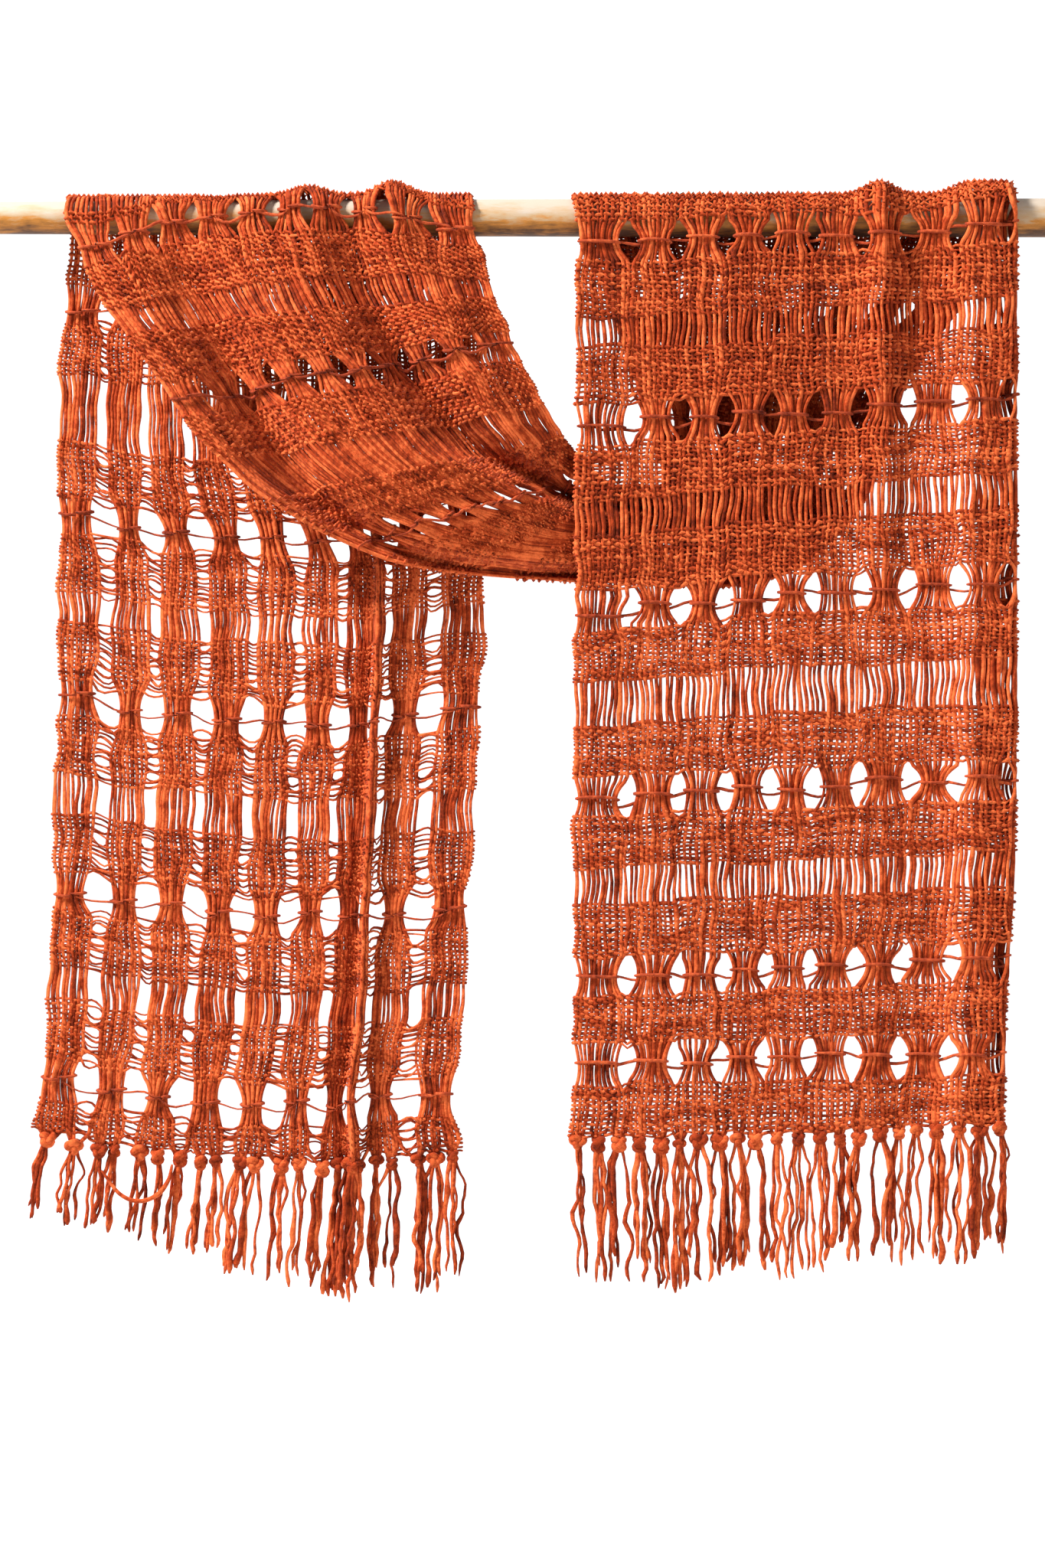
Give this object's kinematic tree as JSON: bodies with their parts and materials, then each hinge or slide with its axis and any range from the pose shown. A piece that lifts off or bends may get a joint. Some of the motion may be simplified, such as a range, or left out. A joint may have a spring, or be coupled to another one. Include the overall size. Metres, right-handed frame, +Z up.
{
  "type": "open-weave scarf on a wooden rod",
  "caption": "Long openwork scarf with tied eyelets and knotted fringe, wound over a plain round wooden rod so that it swags between its two hanging ends.",
  "frame": {"origin": "middle of the rod, on its axis, where the rod is held up", "axes": "+X along the rod to the right as seen from the front, -Y towards the viewer, +Z up"},
  "size_m": [0.78, 0.0753, 0.7603],
  "materials": {
    "wood": "peeled, pale and dry",
    "yarn": "matte slubby cotton yarn"
  },
  "bodies": {
    "root": {"rod": "wood", "rear_fall": "yarn", "swag": "yarn", "front_fall": "yarn", "rear_fringe": "yarn", "front_fringe": "yarn"}
  },
  "joints": []
}
